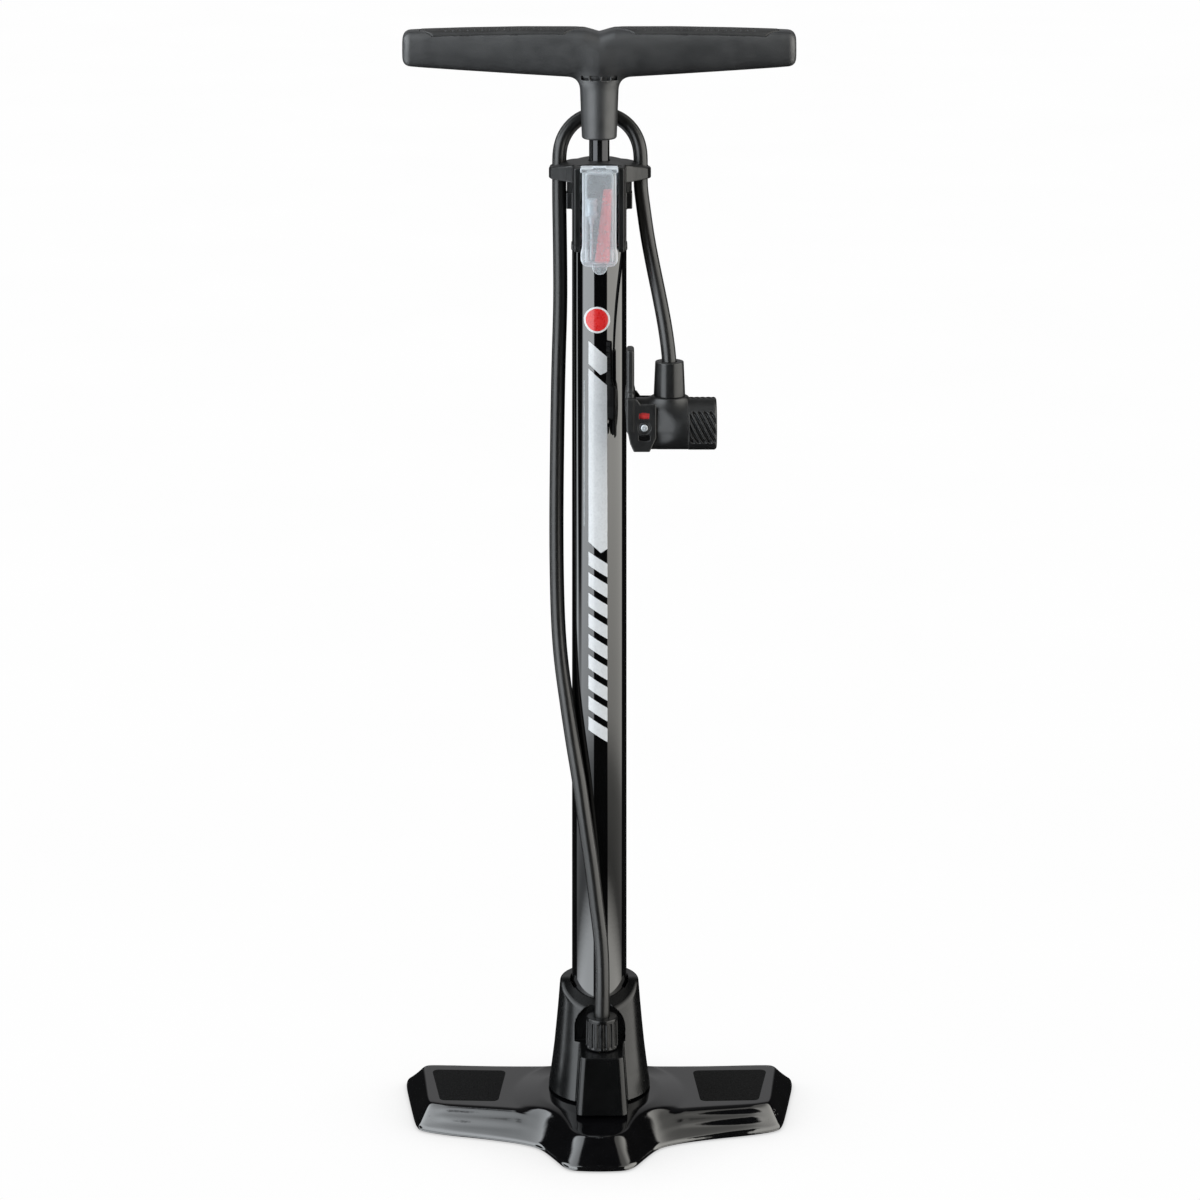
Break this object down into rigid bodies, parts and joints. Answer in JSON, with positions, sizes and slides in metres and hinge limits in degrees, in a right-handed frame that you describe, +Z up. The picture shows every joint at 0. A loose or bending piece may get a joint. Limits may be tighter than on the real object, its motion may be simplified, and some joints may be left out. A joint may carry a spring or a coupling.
{
  "type": "floor bike pump",
  "caption": "Upright floor pump for tyres: winged foot, steel barrel, sliding T handle, looped hose with a lever-lock valve head and a clear accessory case.",
  "frame": {"origin": "on the ground under the barrel axis", "axes": "+Z up along the barrel, -Y towards the hose port and accessory case, +X towards the pump head"},
  "size_m": [0.231, 0.131, 0.6368],
  "materials": {
    "steel_black": "gloss enamel",
    "barrel_black": "gloss enamel with printed bars",
    "plastic_black": "moulded, satin",
    "plastic_dark": "moulded, fine grain",
    "grip_soft": "soft, dimpled",
    "tread": "gritty tape",
    "hose_rubber": "satin",
    "seal_rubber": "matt",
    "steel_dark": "blackened, polished steel",
    "steel_bright": "polished, dark chrome",
    "steel_zinc": "zinc plated",
    "brass": "turned",
    "acetal": "natural acetal",
    "clear_plastic": "frosted clear plastic",
    "red_plastic": "moulded red"
  },
  "bodies": {
    "frame": {"base_plate": "steel_black", "tread_pad_left": "tread", "tread_pad_right": "tread", "base_boot": "plastic_black", "boot_screws": "steel_zinc", "barrel": "barrel_black", "barrel_gasket": "seal_rubber", "check_valve_seat": "brass", "check_valve_spring": "steel_zinc", "port_barb": "brass", "hose_nut": "plastic_black", "hose": "hose_rubber", "top_collar": "plastic_black", "rod_guide_bush": "acetal", "rod_wiper": "seal_rubber", "stroke_bumper": "seal_rubber"},
    "piston_group": {"piston": "acetal", "piston_seal": "seal_rubber"},
    "rod_group": {"piston_rod": "steel_dark", "piston_washer": "steel_zinc", "piston_nut": "steel_zinc", "handle": "plastic_dark", "handle_insert": "brass", "grip_pad_left": "grip_soft", "grip_pad_right": "grip_soft"},
    "valve": {"check_valve_poppet": "seal_rubber"},
    "case": {"accessory_case": "clear_plastic", "ball_needle": "steel_bright", "inflation_cone": "red_plastic"},
    "hose_end": {"hose_free_end": "hose_rubber", "head_collar": "plastic_black", "head_barb": "brass", "head_body": "plastic_dark", "head_cap": "plastic_dark", "valve_grommet": "seal_rubber", "lever_pin": "steel_bright", "lock_indicator": "red_plastic"},
    "lever": {"lever": "plastic_dark"},
    "plunger": {"head_plunger": "acetal", "plunger_seal": "seal_rubber"}
  },
  "joints": [
    {"name": "pump_stroke", "type": "slide", "parent": "frame", "child": "piston_group", "axis": [0, 0, 1], "range_m": [0, 0.455]},
    {"name": "handle_turn", "type": "hinge", "parent": "piston_group", "child": "rod_group", "pos_m": [0, 0, 0], "axis": [0, 0, 1], "continuous": true},
    {"name": "hose_swing", "type": "hinge", "parent": "frame", "child": "hose_end", "pos_m": [0.0244, 0.01, 0.542], "axis": [0, -1, 0], "range_deg": [0, 60]},
    {"name": "lever_pivot", "type": "hinge", "parent": "hose_end", "child": "lever", "pos_m": [0.0259, -0.03, 0.4105], "axis": [0, -1, 0], "range_deg": [0, 90]},
    {"name": "plunger_slide", "type": "slide", "parent": "hose_end", "child": "plunger", "axis": [1, 0, 0], "range_m": [0, 0.0017]},
    {"name": "case_slide", "type": "slide", "parent": "frame", "child": "case", "axis": [0, 0, 1], "range_m": [0, 0.045]},
    {"name": "check_valve_lift", "type": "slide", "parent": "frame", "child": "valve", "axis": [0, 0, -1], "range_m": [0, 0.0012], "stiffness_N_per_m": 300, "deforming": ["check_valve_spring"]}
  ],
  "couplings": [
    {"joint": "plunger_slide", "follows": "lever_pivot", "m_per_rad": 0.0010186}
  ]
}
